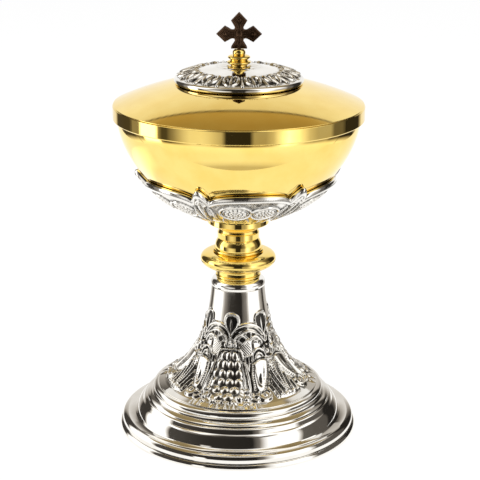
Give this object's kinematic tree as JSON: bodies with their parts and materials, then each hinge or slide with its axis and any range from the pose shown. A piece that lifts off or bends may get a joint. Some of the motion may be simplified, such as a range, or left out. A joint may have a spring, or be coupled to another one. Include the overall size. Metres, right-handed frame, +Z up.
{
  "type": "ciborium",
  "caption": "Lidded gilt bowl on a turned stem and hollow stepped silver foot; the lid, with finial and cross, lifts off.",
  "frame": {"origin": "on the table, at the centre under the foot", "axes": "+Z up along the stem, -Y towards the viewer in front, +X to the viewer's right; the cross faces -Y"},
  "size_m": [0.14, 0.14, 0.2413],
  "materials": {
    "silver_plate": "silver-plated brass, polished, with darkened recesses",
    "gold_plate": "gilded brass, polished to a mirror",
    "turned_brass": "plain turned brass",
    "rod_steel": "threaded rod steel",
    "dark_bronze": "cast bronze with a dark brown patina"
  },
  "bodies": {
    "cup": {"foot_rim": "silver_plate", "foot_base": "silver_plate", "foot_cone": "silver_plate", "cone_collar": "silver_plate", "calyx": "silver_plate", "stem_spool": "gold_plate", "knop": "gold_plate", "knop_collar": "gold_plate", "stem_bell": "gold_plate", "stem_ring": "gold_plate", "cup_flange": "gold_plate", "bowl": "gold_plate", "rod_nut": "turned_brass", "bowl_socket": "turned_brass", "tie_rod": "rod_steel", "rod_washer": "rod_steel"},
    "lid": {"lid_band": "gold_plate", "lid_bezel": "gold_plate", "lid_dome": "gold_plate", "disc_seat": "gold_plate", "lid_disc": "silver_plate", "finial": "gold_plate", "finial_stud": "turned_brass", "finial_washer": "turned_brass", "finial_nut": "turned_brass", "cross": "dark_bronze"}
  },
  "joints": [
    {"name": "lid_lift", "type": "slide", "parent": "cup", "child": "lid", "axis": [0, 0, 1], "range_m": [0, 0.08]}
  ]
}
